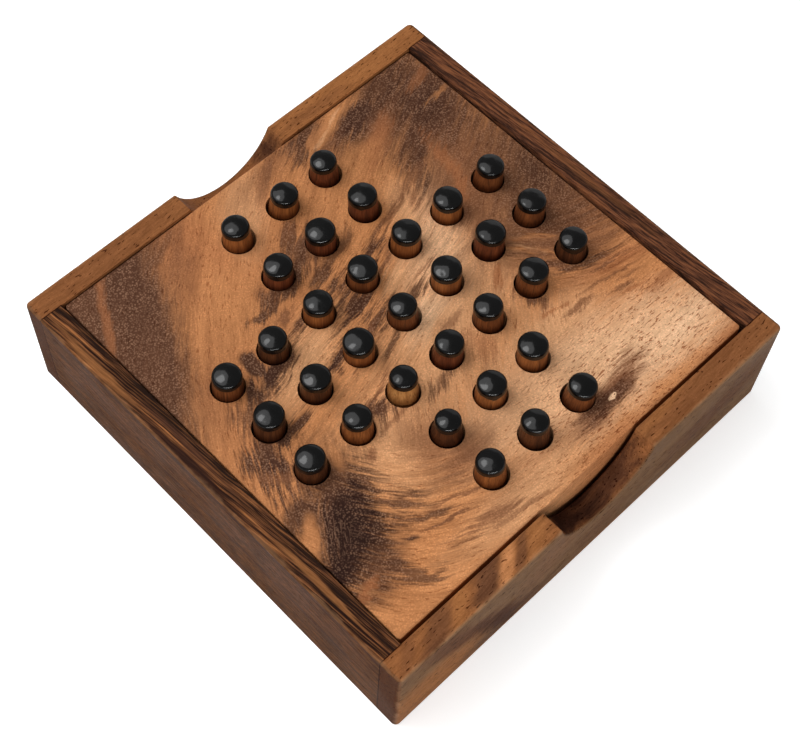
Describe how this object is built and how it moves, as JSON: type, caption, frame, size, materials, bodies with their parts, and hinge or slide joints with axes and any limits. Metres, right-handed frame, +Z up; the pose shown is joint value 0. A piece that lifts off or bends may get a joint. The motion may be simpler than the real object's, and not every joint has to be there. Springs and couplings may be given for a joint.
{
  "type": "peg solitaire board",
  "caption": "Square wooden travel box for peg solitaire: a loose board with a cross of blind holes, leaning dipped pegs, thumb notches in two rails and a peg tray below.",
  "frame": {"origin": "middle of the box's underside", "axes": "+Z up out of the box, +Y from the front notched rail to the back one, +X along them"},
  "size_m": [0.12, 0.12, 0.036],
  "materials": {
    "frame_wood": "satin oiled",
    "striped_wood": "satin oiled",
    "board_wood": "satin oiled",
    "tray_wood": "plain sanded",
    "peg_wood": "satin oiled",
    "peg_lacquer": "gloss"
  },
  "bodies": {
    "frame": {"front_rail": "frame_wood", "back_rail": "frame_wood", "left_rail": "striped_wood", "right_rail": "striped_wood", "bottom_panel": "tray_wood", "left_ledge": "tray_wood", "right_ledge": "tray_wood"},
    "board": {"peg_board": "board_wood"},
    "peg_c1": {"peg_c1": "peg_wood"},
    "peg_d1": {"peg_d1": "peg_wood"},
    "peg_e1": {"peg_e1": "peg_wood"},
    "peg_c2": {"peg_c2": "peg_wood"},
    "peg_d2": {"peg_d2": "peg_wood"},
    "peg_e2": {"peg_e2": "peg_wood"},
    "peg_a3": {"peg_a3": "peg_wood"},
    "peg_b3": {"peg_b3": "peg_wood"},
    "peg_c3": {"peg_c3": "peg_wood"},
    "peg_d3": {"peg_d3": "peg_wood"},
    "peg_e3": {"peg_e3": "peg_wood"},
    "peg_f3": {"peg_f3": "peg_wood"},
    "peg_g3": {"peg_g3": "peg_wood"},
    "peg_a4": {"peg_a4": "peg_wood"},
    "peg_b4": {"peg_b4": "peg_wood"},
    "peg_c4": {"peg_c4": "peg_wood"},
    "peg_d4": {"peg_d4": "peg_wood"},
    "peg_e4": {"peg_e4": "peg_wood"},
    "peg_f4": {"peg_f4": "peg_wood"},
    "peg_g4": {"peg_g4": "peg_wood"},
    "peg_a5": {"peg_a5": "peg_wood"},
    "peg_b5": {"peg_b5": "peg_wood"},
    "peg_c5": {"peg_c5": "peg_wood"},
    "peg_d5": {"peg_d5": "peg_wood"},
    "peg_e5": {"peg_e5": "peg_wood"},
    "peg_f5": {"peg_f5": "peg_wood"},
    "peg_g5": {"peg_g5": "peg_wood"},
    "peg_c6": {"peg_c6": "peg_wood"},
    "peg_d6": {"peg_d6": "peg_wood"},
    "peg_e6": {"peg_e6": "peg_wood"},
    "peg_c7": {"peg_c7": "peg_wood"},
    "peg_d7": {"peg_d7": "peg_wood"},
    "peg_e7": {"peg_e7": "peg_wood"}
  },
  "joints": [
    {"name": "board_lift", "type": "slide", "parent": "frame", "child": "board", "axis": [0, 0, 1], "range_m": [0, 0.04]},
    {"name": "peg_c1_pull", "type": "slide", "parent": "board", "child": "peg_c1", "axis": [0, 0, 1], "range_m": [0, 0.018]},
    {"name": "peg_d1_pull", "type": "slide", "parent": "board", "child": "peg_d1", "axis": [0, 0, 1], "range_m": [0, 0.018]},
    {"name": "peg_e1_pull", "type": "slide", "parent": "board", "child": "peg_e1", "axis": [0, 0, 1], "range_m": [0, 0.018]},
    {"name": "peg_c2_pull", "type": "slide", "parent": "board", "child": "peg_c2", "axis": [0, 0, 1], "range_m": [0, 0.018]},
    {"name": "peg_d2_pull", "type": "slide", "parent": "board", "child": "peg_d2", "axis": [0, 0, 1], "range_m": [0, 0.018]},
    {"name": "peg_e2_pull", "type": "slide", "parent": "board", "child": "peg_e2", "axis": [0, 0, 1], "range_m": [0, 0.018]},
    {"name": "peg_a3_pull", "type": "slide", "parent": "board", "child": "peg_a3", "axis": [0, 0, 1], "range_m": [0, 0.018]},
    {"name": "peg_b3_pull", "type": "slide", "parent": "board", "child": "peg_b3", "axis": [0, 0, 1], "range_m": [0, 0.018]},
    {"name": "peg_c3_pull", "type": "slide", "parent": "board", "child": "peg_c3", "axis": [0, 0, 1], "range_m": [0, 0.018]},
    {"name": "peg_d3_pull", "type": "slide", "parent": "board", "child": "peg_d3", "axis": [0, 0, 1], "range_m": [0, 0.018]},
    {"name": "peg_e3_pull", "type": "slide", "parent": "board", "child": "peg_e3", "axis": [0, 0, 1], "range_m": [0, 0.018]},
    {"name": "peg_f3_pull", "type": "slide", "parent": "board", "child": "peg_f3", "axis": [0, 0, 1], "range_m": [0, 0.018]},
    {"name": "peg_g3_pull", "type": "slide", "parent": "board", "child": "peg_g3", "axis": [0, 0, 1], "range_m": [0, 0.018]},
    {"name": "peg_a4_pull", "type": "slide", "parent": "board", "child": "peg_a4", "axis": [0, 0, 1], "range_m": [0, 0.018]},
    {"name": "peg_b4_pull", "type": "slide", "parent": "board", "child": "peg_b4", "axis": [0, 0, 1], "range_m": [0, 0.018]},
    {"name": "peg_c4_pull", "type": "slide", "parent": "board", "child": "peg_c4", "axis": [0, 0, 1], "range_m": [0, 0.018]},
    {"name": "peg_d4_pull", "type": "slide", "parent": "board", "child": "peg_d4", "axis": [0, 0, 1], "range_m": [0, 0.018]},
    {"name": "peg_e4_pull", "type": "slide", "parent": "board", "child": "peg_e4", "axis": [0, 0, 1], "range_m": [0, 0.018]},
    {"name": "peg_f4_pull", "type": "slide", "parent": "board", "child": "peg_f4", "axis": [0, 0, 1], "range_m": [0, 0.018]},
    {"name": "peg_g4_pull", "type": "slide", "parent": "board", "child": "peg_g4", "axis": [0, 0, 1], "range_m": [0, 0.018]},
    {"name": "peg_a5_pull", "type": "slide", "parent": "board", "child": "peg_a5", "axis": [0, 0, 1], "range_m": [0, 0.018]},
    {"name": "peg_b5_pull", "type": "slide", "parent": "board", "child": "peg_b5", "axis": [0, 0, 1], "range_m": [0, 0.018]},
    {"name": "peg_c5_pull", "type": "slide", "parent": "board", "child": "peg_c5", "axis": [0, 0, 1], "range_m": [0, 0.018]},
    {"name": "peg_d5_pull", "type": "slide", "parent": "board", "child": "peg_d5", "axis": [0, 0, 1], "range_m": [0, 0.018]},
    {"name": "peg_e5_pull", "type": "slide", "parent": "board", "child": "peg_e5", "axis": [0, 0, 1], "range_m": [0, 0.018]},
    {"name": "peg_f5_pull", "type": "slide", "parent": "board", "child": "peg_f5", "axis": [0, 0, 1], "range_m": [0, 0.018]},
    {"name": "peg_g5_pull", "type": "slide", "parent": "board", "child": "peg_g5", "axis": [0, 0, 1], "range_m": [0, 0.018]},
    {"name": "peg_c6_pull", "type": "slide", "parent": "board", "child": "peg_c6", "axis": [0, 0, 1], "range_m": [0, 0.018]},
    {"name": "peg_d6_pull", "type": "slide", "parent": "board", "child": "peg_d6", "axis": [0, 0, 1], "range_m": [0, 0.018]},
    {"name": "peg_e6_pull", "type": "slide", "parent": "board", "child": "peg_e6", "axis": [0, 0, 1], "range_m": [0, 0.018]},
    {"name": "peg_c7_pull", "type": "slide", "parent": "board", "child": "peg_c7", "axis": [0, 0, 1], "range_m": [0, 0.018]},
    {"name": "peg_d7_pull", "type": "slide", "parent": "board", "child": "peg_d7", "axis": [0, 0, 1], "range_m": [0, 0.018]},
    {"name": "peg_e7_pull", "type": "slide", "parent": "board", "child": "peg_e7", "axis": [0, 0, 1], "range_m": [0, 0.018]}
  ]
}
